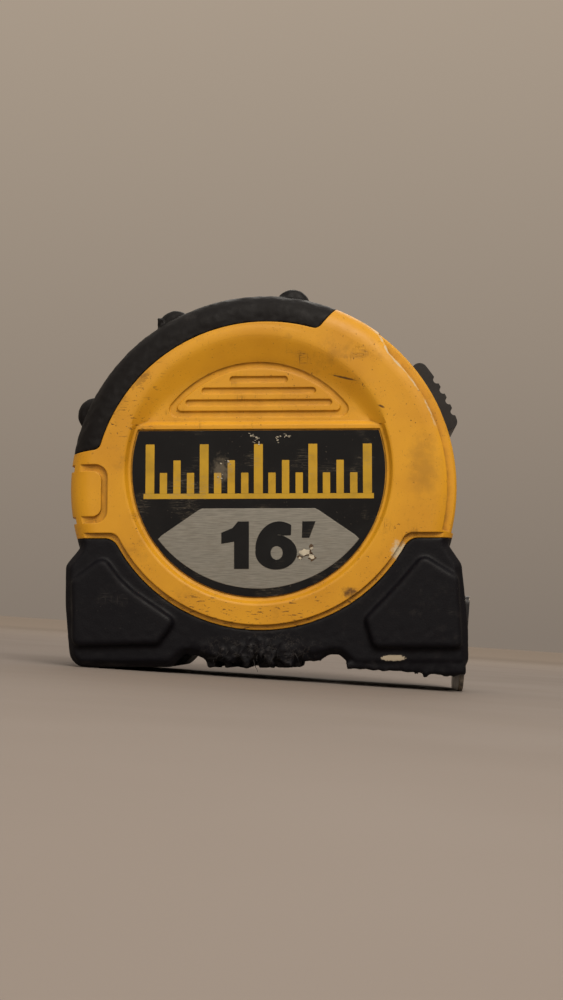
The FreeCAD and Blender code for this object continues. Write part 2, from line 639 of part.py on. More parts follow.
def end_hook():
    """The hook: a tongue over the blade, a plate down in front of it, and an ear up on each side."""
    over_blade = BLADE_T + TONGUE_GAP
    tongue = cupped_plate(TIP_X0 + 1.6, HOOK_X + HOOK_T, over_blade, HOOK_T, TONGUE_HALF_W)
    for x, y in RIVETS:
        slot = slot_prism(x - RIVET_R - HOOK_PLAY, x + RIVET_R + 0.1, 0, 2 * RIVET_R + 0.1, 0, 20)
        slot.rotate(Vector(0, 0, 0), Vector(1, 0, 0), 90)
        slot.translate(Vector(0, y, 0))
        tongue = tongue.cut(slot)

    def yz_outline(corners):
        wire = outline([(y, z, r) for y, z, r in corners])
        wire.rotate(Vector(0, 0, 0), Vector(0, 0, 1), 90)
        return Part.Face(wire).extrude(Vector(HOOK_T, 0, 0))

    side, low_side, ear = HOOK_HALF_W, HOOK_LOW_HALF_W, TONGUE_HALF_W
    bend_z = blade_height(ear, over_blade + HOOK_T)
    plate = yz_outline(((-side, HOOK_TOP_Z, 1.6), (side, HOOK_TOP_Z, 1.6), (side, 2.5, 3.0),
                        (low_side, HOOK_LOW_Z, 2.6), (-low_side, HOOK_LOW_Z, 2.6), (-side, 2.5, 3.0)))
    window = yz_outline(((-ear, 30.0, 0), (ear, 30.0, 0), (ear, bend_z, 0.4), (-ear, bend_z, 0.4)))
    window.translate(Vector(-1, 0, 0))
    window = window.fuse(window.translated(Vector(HOOK_T + 0.5, 0, 0)))
    nail = Part.makeCylinder(NAIL_R, 10, Vector(-5, 0, NAIL_Z), Vector(1, 0, 0))
    plate = plate.cut(window).cut(nail)
    plate.translate(Vector(HOOK_X, 0, 0))
    plate.rotate(Vector(HOOK_X, 0, MOUTH_Z), Vector(0, 1, 0), HOOK_LEAN)
    return tongue.fuse(plate).removeSplitter()


def mouth_cradle():
    """The wear plate under the blade: cupped at the mouth, with a flat tail that the lock presses on."""
    half = CHANNEL_HALF_W - 0.1
    block = box(TIP_X0 + 1, CRADLE_FRONT_X, -half, half, CAVITY_FLOOR, CRADLE_TOP_Z)
    clear = Part.makeCylinder(cup_radius() + 0.2, BIG, Vector(0, 0, MOUTH_Z + cup_radius()), Vector(1, 0, 0))
    low = MOUTH_Z - CRADLE_DROP
    block = block.cut(clear).cut(box(-BIG, BIG, -CRADLE_SLOT, CRADLE_SLOT, low, CRADLE_TOP_Z * 2))
    tail = box(CHANNEL_X + 0.2, TIP_X0 + 1, -CRADLE_TAIL, CRADLE_TAIL, CAVITY_FLOOR, low)
    return block.fuse(tail).removeSplitter()


def hook_bumpers():
    """Rubber cushions that the hook's ears and lip close against."""
    pads = []
    for side in (-1, 1):
        y = sorted(side * edge for edge in BUMPER_Y)
        pads.append(box(HOOK_X - HOOK_RECESS, HOOK_X - BUMPER_EAR_GAP, *y, *BUMPER_EAR_Z))
        pads.append(box(HOOK_X - HOOK_RECESS, HOOK_X - BUMPER_LIP_GAP, *y, *BUMPER_LIP_Z))
    return Part.makeCompound(pads)


# ---------------------------------------------------------------- lock, clip and screws

def lock_button():
    """The thumb button: a low curved block with cross ridges, outside the front strip."""
    button = ring_sector(STRIP_R + 0.15, LOCK_OUT_R, *LOCK_ANGLES, -LOCK_Y, LOCK_Y)
    edges = [e for e in button.Edges if e.Length > 2 * LOCK_Y - 1
             and math.hypot(e.CenterOfMass.x, e.CenterOfMass.z - REEL_Z) > LOCK_OUT_R - 0.5]
    button = button.makeFillet(1.6, edges)
    for angle in LOCK_NOTCHES:
        notch = polar(LOCK_OUT_R + 0.2, angle)
        button = button.cut(cylinder(notch.x, notch.z, NOTCH_R, -BIG, BIG))
    return button


def lock_arm():
    """The slide inside the case, with the stem that carries the button through the slot."""
    arm = ring_sector(*ARM_R, *ARM_ANGLES, -ARM_Y, ARM_Y)
    stem = ring_sector(ARM_R[1] - 0.2, STRIP_R + 0.15, *STEM_ANGLES, -STEM_Y, STEM_Y)
    return arm.fuse(stem).removeSplitter()


def lock_pad():
    """The rubber pad on the arm's lower end, which presses on the blade."""
    return ring_sector(ARM_R[0] - 0.2, ARM_R[1] + 0.3, ARM_ANGLES[0] - 3.0, ARM_ANGLES[0], -ARM_Y, ARM_Y)


def belt_clip():
    """A spring-steel strip: a foot on the case, a step out, a long arm and a lip turned outwards."""
    seat, out = LABEL_Y, FACE_Y + CLIP_GAP
    centre = [(seat, 60.0), (seat, 48.5), (out, 44.0), (out, 19.0), (out + 1.9, 13.6)]
    back = [(y + CLIP_T, z - (0.5 if 0 < i < 4 else 0)) for i, (y, z) in enumerate(centre)]
    corners = [(y, z, 0) for y, z in centre] + [(y, z, 0) for y, z in reversed(back)]
    rounding = (0.3, 2.4, 1.5, 5.0, 0.5, 0.5, 4.0, 2.6, 1.3, 0.3)
    wire = outline([(y, z, r) for (y, z, _), r in zip(corners, rounding)])
    wire.rotate(Vector(0, 0, 0), Vector(0, 0, 1), 90)
    strip = Part.Face(wire).extrude(Vector(CLIP_W, 0, 0))
    strip.translate(Vector(-CLIP_W / 2, 0, 0))
    side = CLIP_W / 2
    tip = side - 2.1
    sides = outline(((-side, 61, 3.0), (side, 61, 3.0), (side, 24, 6.0),
                     (tip, 10, 3.0), (-tip, 10, 3.0), (-side, 24, 6.0)))
    strip = strip.common(prism(sides, 0, BIG))
    return strip.cut(cylinder(0, CLIP_SCREW_Z, CLIP_FOOT_R, 0, seat + 5))


def cross_recess(size, depth):
    """A cross for a screwdriver, pointing down from z 0."""
    half = RECESS_W / 2
    arm = Part.makeBox(2 * size, RECESS_W, depth, Vector(-size, -half, -depth))
    return arm.fuse(Part.makeBox(RECESS_W, 2 * size, depth, Vector(-half, -size, -depth)))


def screw(head_r, head_t, shank_r, length):
    """A round-headed screw, its head's underside at z 0 and its shank pointing down."""
    head = Part.makeCylinder(head_r, head_t)
    head = head.makeFillet(min(0.6, head_t * 0.6), [e for e in head.Edges if e.BoundBox.ZMin > head_t - 1e-4])
    recess = cross_recess(head_r * 0.62, head_t * 0.65)
    recess.translate(Vector(0, 0, head_t))
    shank = Part.makeCylinder(shank_r, length, Vector(0, 0, -length))
    shank = shank.makeChamfer(0.4, [e for e in shank.Edges if e.BoundBox.ZMax < -length + 1e-4])
    return head.cut(recess).fuse(shank).removeSplitter()


def towards_clip_side(shape, x, y, z):
    """Turns a screw so that its head faces +Y, and puts its head's underside at this point."""
    shape.rotate(Vector(0, 0, 0), Vector(1, 0, 0), -90)
    shape.translate(Vector(x, y, z))
    return shape


def case_screws():
    length = HEAD_SEAT_Y - SCREW_TIP_Y
    made = [screw(SCREW_HEAD_R, SCREW_HEAD_T, SCREW_R, length) for _ in SCREWS]
    return Part.makeCompound([towards_clip_side(s, x, HEAD_SEAT_Y, z) for s, (x, z) in zip(made, SCREWS)])


def clip_screw():
    made = screw(CLIP_SCREW_HEAD_R, CLIP_SCREW_HEAD_T, CLIP_SCREW_R, CLIP_SCREW_LENGTH)
    return towards_clip_side(made, 0, LABEL_Y + CLIP_T, CLIP_SCREW_Z)


PARTS = {
    "case_shell_right": case_shell_right,
    "case_shell_left": case_shell_left,
    "boot_right": lambda: mirrored(boot()),
    "boot_left": boot_left,
    "top_grip_right": lambda: mirrored(top_grip()),
    "top_grip_left": top_grip,
    "label_right": lambda: label(-1),
    "label_left": lambda: label(1),
    "case_screws": case_screws,
    "belt_clip": belt_clip,
    "clip_screw": clip_screw,
    "spring_arbor": spring_arbor,
    "mainspring": mainspring,
    "drum": drum,
    "drum_cover": drum_cover,
    "blade_coil": blade_coil,
    "blade_run": blade_run,
    "blade_tip": blade_tip,
    "hook_rivets": hook_rivets,
    "end_hook": end_hook,
    "mouth_cradle": mouth_cradle,
    "hook_bumpers": hook_bumpers,
    "lock_button": lock_button,
    "lock_arm": lock_arm,
    "lock_pad": lock_pad,
}

os.makedirs("parts", exist_ok=True)
for name, make in PARTS.items():
    shape = make()
    good = shape.isValid() and all(s.isClosed() and s.Volume > 0 for s in shape.Solids)
    print(f"{name:18s} solids {len(shape.Solids):2d}  volume {shape.Volume:9.1f}  {'ok' if good else 'BAD'}")
    shape.exportStep(f"parts/{name}.step")
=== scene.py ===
import json
import math
import random

import bmesh
import bpy
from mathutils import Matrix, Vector, noise


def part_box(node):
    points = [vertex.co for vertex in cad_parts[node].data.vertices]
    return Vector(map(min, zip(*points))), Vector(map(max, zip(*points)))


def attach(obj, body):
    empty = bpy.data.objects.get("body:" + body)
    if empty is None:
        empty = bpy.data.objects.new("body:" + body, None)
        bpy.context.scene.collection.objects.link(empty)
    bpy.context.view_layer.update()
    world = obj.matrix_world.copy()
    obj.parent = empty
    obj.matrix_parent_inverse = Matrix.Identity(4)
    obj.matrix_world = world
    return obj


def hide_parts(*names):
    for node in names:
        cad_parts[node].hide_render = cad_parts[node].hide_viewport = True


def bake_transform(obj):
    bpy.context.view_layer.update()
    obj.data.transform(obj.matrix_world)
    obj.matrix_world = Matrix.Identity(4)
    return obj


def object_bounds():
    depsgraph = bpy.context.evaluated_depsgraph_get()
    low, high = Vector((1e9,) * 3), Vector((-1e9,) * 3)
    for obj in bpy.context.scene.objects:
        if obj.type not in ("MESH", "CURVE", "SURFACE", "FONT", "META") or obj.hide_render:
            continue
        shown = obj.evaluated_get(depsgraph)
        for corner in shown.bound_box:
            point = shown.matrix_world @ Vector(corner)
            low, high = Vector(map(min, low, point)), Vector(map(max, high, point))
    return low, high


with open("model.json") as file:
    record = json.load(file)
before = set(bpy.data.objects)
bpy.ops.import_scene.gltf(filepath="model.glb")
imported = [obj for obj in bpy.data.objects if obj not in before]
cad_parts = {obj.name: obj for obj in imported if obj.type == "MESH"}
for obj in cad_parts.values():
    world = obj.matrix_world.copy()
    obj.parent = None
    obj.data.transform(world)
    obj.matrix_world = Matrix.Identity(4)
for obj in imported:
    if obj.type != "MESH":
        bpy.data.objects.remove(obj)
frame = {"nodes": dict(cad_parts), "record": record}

CAD_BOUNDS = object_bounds()

# A worn pocket tape measure. Lengths in this script are millimetres in the part's own frame, turned
# into metres where a mesh, light or camera is made.
MM = 0.001



def box_mm(node):
    """A node's lowest and highest corners."""
    return [Vector(corner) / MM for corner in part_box(node)]


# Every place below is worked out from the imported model's joints and node boxes.
JOINTS = {joint["name"]: joint for joint in frame["record"]["behaviour"]["joints"]}
REEL_Z = JOINTS["reel_spin"]["pos_m"][2] / MM
SHELL_LOW, SHELL_HIGH = box_mm("case_shell_right")
BOOT_LOW, BOOT_HIGH = box_mm("boot_right")
LABEL_LOW, LABEL_HIGH = box_mm("label_right")
RUN_LOW, RUN_HIGH = box_mm("blade_run")
TIP_LOW, TIP_HIGH = box_mm("blade_tip")
HOOK_LOW, HOOK_HIGH = box_mm("end_hook")
COIL_LOW, COIL_HIGH = box_mm("blade_coil")
CASE_R = -SHELL_LOW.x
FACE_Y = SHELL_LOW.y                 # the flat ring round the label
FLANK = -BOOT_LOW.y - 1.3            # half width at the boots, inside their raised pads
LABEL_R = (LABEL_HIGH.x - LABEL_LOW.x) / 2
LABEL_X, LABEL_Z = LABEL_LOW.x + LABEL_R, LABEL_LOW.z + LABEL_R
LABEL_FACE_Y = LABEL_LOW.y
BLADE_HALF = TIP_HIGH.y
BLADE_T = 0.15
HOOK_X = TIP_HIGH.x + 0.6            # back of the hook's plate, where the scale starts

YELLOW = (0.70, 0.335, 0.011)
YELLOW_DEEP = (0.60, 0.272, 0.008)
GRIME = (0.10, 0.042, 0.010)
RUBBER = (0.0028, 0.0026, 0.0048)
SCUFF = (0.046, 0.041, 0.039)
FLOOR_NEAR = (0.235, 0.202, 0.182)
FLOOR_FAR = (0.47, 0.395, 0.335)
ROOM_LOW, ROOM_MIDDLE, ROOM_TOP = (0.225, 0.185, 0.150), (0.41, 0.335, 0.262), (0.70, 0.66, 0.60)


def on_face(angle, share):
    """(x, z) on the label side, by angle about the reel's axis and share of the case's radius."""
    a = math.radians(angle)
    return CASE_R * share * math.cos(a), REEL_Z + CASE_R * share * math.sin(a)


def on_boot(along, up):
    """(x, z) on the label side's boot, by shares of its length and height."""
    return (BOOT_LOW.x + along * (BOOT_HIGH.x - BOOT_LOW.x), BOOT_LOW.z + up * (BOOT_HIGH.z - BOOT_LOW.z))


def on_label(points):
    """Points given from the middle of the label's circle, as (x, z) in the part's frame."""
    return [(LABEL_X + x, LABEL_Z + z) for x, z in points]


# ---------------------------------------------------------------- materials

class Paint:
    """Builds one material's nodes. Textures read object coordinates in millimetres."""

    def __init__(self, name, **constants):
        self.material = bpy.data.materials.new(name)
        self.material.use_nodes = True
        self.tree = self.material.node_tree
        self.tree.nodes.clear()
        self.shader = self.node("ShaderNodeBsdfPrincipled")
        output = self.node("ShaderNodeOutputMaterial")
        self.tree.links.new(self.shader.outputs[0], output.inputs["Surface"])
        for socket, value in constants.items():
            self.shader.inputs[socket.replace("_", " ")].default_value = value
        coords = self.node("ShaderNodeTexCoord")
        self.mm = self.mapped(coords.outputs["Object"], (1000, 1000, 1000))

    def node(self, kind, **settings):
        made = self.tree.nodes.new(kind)
        for key, value in settings.items():
            setattr(made, key, value)
        return made

    def put(self, socket, value):
        """Links value if it is a socket, or sets it as the default."""
        if isinstance(value, bpy.types.NodeSocket):
            self.tree.links.new(value, socket)
        elif isinstance(value, tuple) and len(value) == 3 and len(socket.default_value) == 4:
            socket.default_value = (*value, 1.0)
        else:
            socket.default_value = value

    def mapped(self, vector, scale=(1, 1, 1), turn=(0, 0, 0)):
        made = self.node("ShaderNodeMapping")
        self.put(made.inputs["Vector"], vector)
        made.inputs["Scale"].default_value = scale
        made.inputs["Rotation"].default_value = [math.radians(a) for a in turn]
        return made.outputs[0]

    def noise(self, scale, detail=3.0, rough=0.55, vector=None, distortion=0.0):
        made = self.node("ShaderNodeTexNoise")
        self.put(made.inputs["Vector"], vector or self.mm)
        made.inputs["Scale"].default_value = scale
        made.inputs["Detail"].default_value = detail
        made.inputs["Roughness"].default_value = rough
        made.inputs["Distortion"].default_value = distortion
        return made.outputs["Fac"]

    def math(self, operation, a, b=0.0, clamp=False):
        made = self.node("ShaderNodeMath", operation=operation, use_clamp=clamp)
        self.put(made.inputs[0], a)
        self.put(made.inputs[1], b)
        return made.outputs[0]

    def times(self, *values):
        product = values[0]
        for value in values[1:]:
            product = self.math("MULTIPLY", product, value)
        return product

    def most(self, *values):
        biggest = values[0]
        for value in values[1:]:
            biggest = self.math("MAXIMUM", biggest, value)
        return biggest

    def step(self, value, start, end, low=0.0, high=1.0):
        """Goes smoothly from low to high as value goes from start to end."""
        made = self.node("ShaderNodeMapRange", interpolation_type="SMOOTHSTEP")
        self.put(made.inputs["Value"], value)
        for socket, number in zip(("From Min", "From Max", "To Min", "To Max"), (start, end, low, high)):
            made.inputs[socket].default_value = number
        return made.outputs[0]

    def mix(self, amount, a, b):
        made = self.node("ShaderNodeMix", data_type="RGBA")
        self.put(made.inputs[0], amount)
        self.put(made.inputs[6], a)
        self.put(made.inputs[7], b)
        return made.outputs[2]

    def part(self, axis, vector=None):
        made = self.node("ShaderNodeSeparateXYZ")
        self.put(made.inputs[0], vector or self.mm)
        return made.outputs["XYZ".index(axis)]

    def near(self, place, inner, outer, stretch=(1, 1, 1), ragged=0.0, grain=0.6):
        """1 within inner of an (x, z) place on the label side, fading to 0 at outer. ragged breaks its
        edge up."""
        offset = self.node("ShaderNodeVectorMath", operation="SUBTRACT")
        self.put(offset.inputs[0], self.mm)
        offset.inputs[1].default_value = (place[0], FACE_Y + 1.5, place[1])
        scaled = self.node("ShaderNodeVectorMath", operation="MULTIPLY")
        self.put(scaled.inputs[0], offset.outputs[0])
        scaled.inputs[1].default_value = stretch
        length = self.node("ShaderNodeVectorMath", operation="LENGTH")
        self.put(length.inputs[0], scaled.outputs[0])
        distance = length.outputs["Value"]
        if ragged:
            wobble = self.times(self.math("SUBTRACT", self.noise(grain, 4.0, 0.7), 0.5), ragged * 2)
            distance = self.math("ADD", distance, wobble)
        return self.step(distance, outer, inner)

    def stroke(self, start, end, width, ragged=0.5):
        """1 on a short scratch on the label side, between two (x, z) points."""
        dx, dz = end[0] - start[0], end[1] - start[1]
        offset = self.node("ShaderNodeVectorMath", operation="SUBTRACT")
        self.put(offset.inputs[0], self.mm)
        offset.inputs[1].default_value = (start[0] + dx / 2, 0, start[1] + dz / 2)
        turned = self.mapped(offset.outputs[0], turn=(0, math.degrees(math.atan2(dz, dx)), 0))
        along = self.math("DIVIDE", self.part("X", turned), math.hypot(dx, dz) / 2)
        across = self.math("DIVIDE", self.part("Z", turned), width / 2)
        wobble = self.times(self.math("SUBTRACT", self.noise(1.4, 4.0, 0.7), 0.5), ragged * 2)
        far = self.math("SQRT", self.math("ADD", self.times(along, along), self.times(across, across)))
        line = self.step(self.math("ADD", far, wobble), 1.15, 0.55)
        return self.times(line, self.step(self.part("Y"), FACE_Y + 8.4, FACE_Y + 5.4))

    def around(self, x, z):
        """Distance and angle about the line through (x, z) along Y."""
        across = self.math("SUBTRACT", self.part("X"), x)
        up = self.math("SUBTRACT", self.part("Z"), z)
        squares = self.math("ADD", self.times(across, across), self.times(up, up))
        return self.math("SQRT", squares), self.math("ARCTAN2", up, across)

    def spread(self, x, y):
        """Distance from the upright line through (x, y)."""
        across = self.math("SUBTRACT", self.part("X"), x)
        along = self.math("SUBTRACT", self.part("Y"), y)
        return self.math("SQRT", self.math("ADD", self.times(across, across), self.times(along, along)))

    def edges(self, radius, start=0.02, end=0.16):
        """1 on edges sharper than this radius, found by comparing a rounded normal with the true one."""
        rounded = self.node("ShaderNodeBevel", samples=4)
        rounded.inputs["Radius"].default_value = radius * MM
        geometry = self.node("ShaderNodeNewGeometry")
        dot = self.node("ShaderNodeVectorMath", operation="DOT_PRODUCT")
        self.put(dot.inputs[0], rounded.outputs[0])
        self.put(dot.inputs[1], geometry.outputs["Normal"])
        return self.step(self.math("SUBTRACT", 1.0, dot.outputs["Value"]), start, end)

    def hollows(self, distance, start=0.55, end=0.95):
        """1 in corners and grooves this narrow."""
        shade = self.node("ShaderNodeAmbientOcclusion", samples=6)
        shade.inputs["Distance"].default_value = distance * MM
        return self.step(shade.outputs["AO"], end, start)

    def scratches(self, scale, turn, width=0.03, amount=0.62):
        """Thin broken lines along one direction."""
        lines = self.noise(1.0, 2.0, 0.5, self.mapped(self.mm, scale, turn))
        thin = self.math("ABSOLUTE", self.math("SUBTRACT", lines, 0.5))
        broken = self.step(self.noise(0.11, 2.0), amount, amount + 0.08)
        return self.times(self.step(thin, width, 0.0), broken)

    def rounded_normal(self, radius):
        made = self.node("ShaderNodeBevel", samples=6)
        made.inputs["Radius"].default_value = radius * MM
        return made.outputs[0]

    def bumps(self, height, strength, distance=0.1, round_off=0.0, soft=None):
        """Bump mapping by height, over normals rounded at edges if round_off is given. soft is a wider
        rounding and the mask where it applies."""
        made = self.node("ShaderNodeBump")
        made.inputs["Strength"].default_value = strength
        made.inputs["Distance"].default_value = distance * MM
        self.put(made.inputs["Height"], height)
        if round_off:
            normal = self.rounded_normal(round_off)
            if soft:
                both = self.node("ShaderNodeMix", data_type="VECTOR")
                self.put(both.inputs[0], soft[1])
                self.put(both.inputs[4], normal)
                self.put(both.inputs[5], self.rounded_normal(soft[0]))
                normal = both.outputs[1]
            self.put(made.inputs["Normal"], normal)
        self.put(self.shader.inputs["Normal"], made.outputs[0])

    def finish(self, colour, roughness, metallic=None):
        self.put(self.shader.inputs["Base Color"], colour)
        self.put(self.shader.inputs["Roughness"], roughness)
        if metallic is not None:
            self.put(self.shader.inputs["Metallic"], metallic)
        return self.material


def rim_line(p):
    """The whitish line worn along the front strip's inner edge, running out to the rim at its top."""
    radius, angle = p.around(0, REEL_Z)
    degrees = p.times(angle, 180 / math.pi)
    middle = p.math("ADD", CASE_R - 2.55, p.step(degrees, 45, 55, 0.0, 2.1))
    off = p.math("ABSOLUTE", p.math("SUBTRACT", radius, middle))
    width = p.step(p.noise(0.7, 4.0, 0.7), 0.36, 0.68, 0.02, 0.36)
    line = p.step(p.math("SUBTRACT", off, width), 0.12, -0.12)
    broken = p.step(p.noise(0.30, 3.0, 0.6), 0.40, 0.52)
    ends = p.times(p.step(degrees, 17, 23), p.step(degrees, 57, 53))
    outside = p.step(p.part("Y"), FACE_Y + 4.9, FACE_Y + 3.4)
    return p.times(line, ends, outside, p.most(broken, p.step(degrees, 44, 49)))


def yellow_plastic():
    p = Paint("yellow_plastic", IOR=1.5, Specular_IOR_Level=0.38)
    broad = p.noise(0.06, 3.0)
    colour = p.mix(p.step(broad, 0.35, 0.7), YELLOW, YELLOW_DEEP)
    grime_in_grooves = p.times(p.hollows(1.2), p.step(p.noise(0.5, 4.0), 0.25, 0.6), 0.55)
    film = p.times(p.step(p.noise(0.16, 5.0, 0.65), 0.56, 0.74), 0.28)
    specks = p.times(p.step(p.noise(1.7, 3.0, 0.6), 0.665, 0.70), p.step(p.noise(0.12, 2.0), 0.44, 0.58))
    pits = p.times(p.step(p.noise(4.2, 2.0, 0.5), 0.68, 0.72), p.step(p.noise(0.2, 2.0), 0.40, 0.54))
    scores = p.most(p.scratches((0.12, 0.12, 2.4), (0, 34, 10)),
                    p.scratches((0.15, 0.15, 3.0), (20, -52, 0), 0.022),
                    p.scratches((2.0, 0.2, 0.12), (0, 12, 30), 0.02, 0.6))
    nicks = p.noise(1.0, 3.0, 0.6, p.mapped(p.mm, (0.7, 0.7, 2.6)))
    below = p.step(p.part("Z"), REEL_Z - 0.50 * CASE_R, REEL_Z - 0.60 * CASE_R)
    low_ring = p.times(p.step(nicks, 0.60, 0.65), below, p.step(p.noise(0.22, 2.0), 0.34, 0.48))
    upper_left = p.times(p.step(p.part("X"), -0.45 * CASE_R, -0.61 * CASE_R),
                         p.step(p.part("Z"), REEL_Z + 0.2 * CASE_R, REEL_Z + 0.3 * CASE_R))
    worn_left = p.times(p.step(nicks, 0.60, 0.66), upper_left, p.step(p.noise(0.3, 2.0), 0.34, 0.5), 0.8)
    smears = p.most(p.near(on_face(147, 0.94), 0.5, 4.5, (1, 0.4, 0.5), 3.0),
                    p.near(on_face(6, 0.82), 0.5, 5.0, (1.2, 0.4, 0.6), 3.0),
                    p.times(p.near(on_face(55, 0.81), 0.3, 1.3, (0.25, 0.5, 1.6), 1.2), 1.6))
    burn = p.near(on_face(-51, 0.70), 0.4, 1.7, (0.8, 0.4, 1.2), 1.2, 1.2)
    strokes = p.most(p.stroke(on_face(59, 0.67), on_face(47.5, 0.725), 0.42, 0.6),
                     p.stroke(on_face(35, 0.717), on_face(32.5, 0.736), 0.5, 0.5),
                     p.times(p.stroke(on_face(143, 0.844), on_face(135, 0.82), 1.3, 2.2), 0.42),
                     p.times(p.stroke(on_face(138.6, 0.834), on_face(135.7, 0.83), 0.8, 1.6), 0.6),
                     p.times(p.stroke(on_face(151.7, 0.868), on_face(146.3, 0.848), 1.2, 2.4), 0.4),
                     p.stroke(on_face(-71, 0.738), on_face(-63, 0.744), 0.5, 1.0),
                     p.stroke(on_face(28.5, 1.016), on_face(20, 0.985), 0.4, 1.2))
    dirt = p.most(low_ring, worn_left, grime_in_grooves, film, specks, p.times(pits, 0.8),
                  p.times(scores, 0.75), p.times(smears, 0.38), p.times(burn, 1.15), p.times(strokes, 1.1))
    colour = p.mix(p.math("MULTIPLY", dirt, 0.85, True), colour, GRIME)
    bare = p.near(on_face(-25.8, 0.763), 0.7, 1.9, (1, 0.3, 0.9), 1.6, 1.0)
    chipped = p.times(p.edges(0.35), p.step(p.noise(0.7, 4.0), 0.62, 0.72), 0.25)
    colour = p.mix(p.most(bare, chipped, p.times(rim_line(p), 0.8)), colour, (0.60, 0.50, 0.33))
    dish_far, _ = p.around(LABEL_X, LABEL_Z)
    floor_far, _ = p.around(LABEL_X, LABEL_Z - 5.0)
    crescent = p.times(p.step(dish_far, LABEL_R + 4.0, LABEL_R + 3.2),
                       p.step(floor_far, LABEL_R - 0.2, LABEL_R + 1.0),
                       p.step(p.part("Z"), LABEL_HIGH.z + 1.4, LABEL_HIGH.z + 3.4))
    relief = p.math("SUBTRACT", p.times(p.noise(2.2, 2.0), 0.12), p.times(p.most(specks, scores), 0.6))
    p.bumps(relief, 0.5, 0.12, 0.3, (2.2, crescent))
    rough = p.math("ADD", p.step(p.noise(0.35, 4.0), 0.3, 0.7, 0.42, 0.54), p.times(dirt, 0.25))
    return p.finish(colour, rough)


def black_rubber(name, base=RUBBER, scuffed=1.0):
    p = Paint(name, IOR=1.45, Specular_IOR_Level=0.2)
    worn = p.times(p.step(p.noise(0.35, 6.0, 0.7), 0.55, 0.72), p.step(p.noise(0.09, 2.0), 0.38, 0.6))
    flecks = p.times(p.step(p.noise(2.4, 3.0, 0.6), 0.66, 0.71), p.step(p.noise(0.15, 2.0), 0.42, 0.6))
    scores = p.most(p.scratches((0.1, 0.1, 2.2), (0, 25, 0)), p.scratches((0.12, 0.12, 2.6), (15, -60, 0)),
                    p.scratches((1.8, 0.15, 0.1), (0, 20, 15)))
    threads = p.times(p.step(p.math("ABSOLUTE", p.math("SUBTRACT", p.noise(0.9, 4.0, 0.65), 0.5)), 0.03, 0.0),
                      p.near(on_boot(0.49, 0.13), 0.7, 1.3, (0.09, 0.1, 0.28)),
                      p.step(p.noise(0.5, 2.0), 0.45, 0.55))
    dust = p.times(p.hollows(1.6, 0.5, 0.85), p.step(p.noise(0.6, 4.0), 0.35, 0.65), 0.35)
    rub = p.times(p.edges(0.6, 0.01, 0.12), p.step(p.noise(0.5, 4.0), 0.42, 0.6), 0.6)
    mark = p.most(p.times(worn, 0.2), p.times(threads, 0.7), p.times(flecks, 0.55), p.times(scores, 0.45),
                  dust, rub)
    colour = p.mix(p.times(mark, scuffed), base, SCUFF)
    # Painted light: a pale patch low on the belly near the front, standing in for the room's light seen
    # through the slit under the torn sole.
    torn = p.times(p.near(on_boot(0.816, 0.073), 0.85, 1.0, (0.40, 0.3, 1.5), 0.55, 1.6),
                   p.step(p.part("Z"), BOOT_LOW.z + 2.4, BOOT_LOW.z + 2.25))
    colour = p.mix(torn, colour, (0.42, 0.36, 0.27))
    p.bumps(p.math("ADD", p.times(p.noise(3.2, 3.0), 0.5), p.times(p.noise(0.7, 4.0), 0.8)), 0.35, 0.16, 0.18)
    return p.finish(colour, p.step(p.noise(0.3, 4.0), 0.3, 0.7, 0.46, 0.66))


def plain_plastic(name, colour, rough=0.5, grain=2.0):
    p = Paint(name, Specular_IOR_Level=0.3)
    shade = tuple(c * 0.72 for c in colour)
    tone = p.mix(p.step(p.noise(0.4, 4.0), 0.35, 0.68), colour, shade)
    flecks = p.times(p.step(p.noise(2.0, 3.0), 0.66, 0.72), 0.5)
    tone = p.mix(flecks, tone, tuple(min(1.0, c * 2.0 + 0.05) for c in colour))
    p.bumps(p.noise(grain, 3.0), 0.2, 0.08, 0.15)
    return p.finish(tone, p.step(p.noise(0.5, 3.0), 0.3, 0.7, rough - 0.07, rough + 0.07))


def steel(name, colour, rough=0.34, grain=(0.25, 6.0, 6.0), tarnish=(0.30, 0.22, 0.13), rust=0.35):
    p = Paint(name)
    brushed = p.noise(1.0, 3.0, 0.6, p.mapped(p.mm, grain))
    blotch = p.times(p.step(p.noise(0.35, 5.0, 0.65), 0.48, 0.72), rust)
    tone = p.mix(p.step(brushed, 0.3, 0.7), colour, tuple(c * 0.7 for c in colour))
    tone = p.mix(blotch, tone, tarnish)
    p.bumps(brushed, 0.12, 0.04, 0.12)
    roughness = p.math("ADD", p.step(brushed, 0.3, 0.7, rough - 0.06, rough + 0.08), p.times(blotch, 0.3))
    return p.finish(tone, roughness, p.math("SUBTRACT", 1.0, p.times(blotch, 0.5)))


def coated_steel(name):
    """Black-coated steel, rubbed bare along its edges and at the lip."""
    p = Paint(name, Specular_IOR_Level=0.4)
    lip = p.times(p.step(p.part("Z"), HOOK_LOW.z + 5.2, HOOK_LOW.z + 1.2),
                  p.step(p.noise(0.5, 4.0), 0.30, 0.55))
    bare = p.most(p.times(p.edges(0.35), p.step(p.noise(0.8, 4.0), 0.40, 0.56)), p.times(lip, 0.75),
                  p.scratches((0.2, 0.2, 2.8), (0, 15, 0)))
    tone = p.mix(bare, (0.014, 0.013, 0.015), (0.34, 0.29, 0.23))
    p.bumps(p.times(bare, -1.0), 0.4, 0.05, 0.12)
    return p.finish(tone, p.step(p.noise(0.6, 4.0), 0.3, 0.7, 0.34, 0.5), p.times(bare, 0.85))


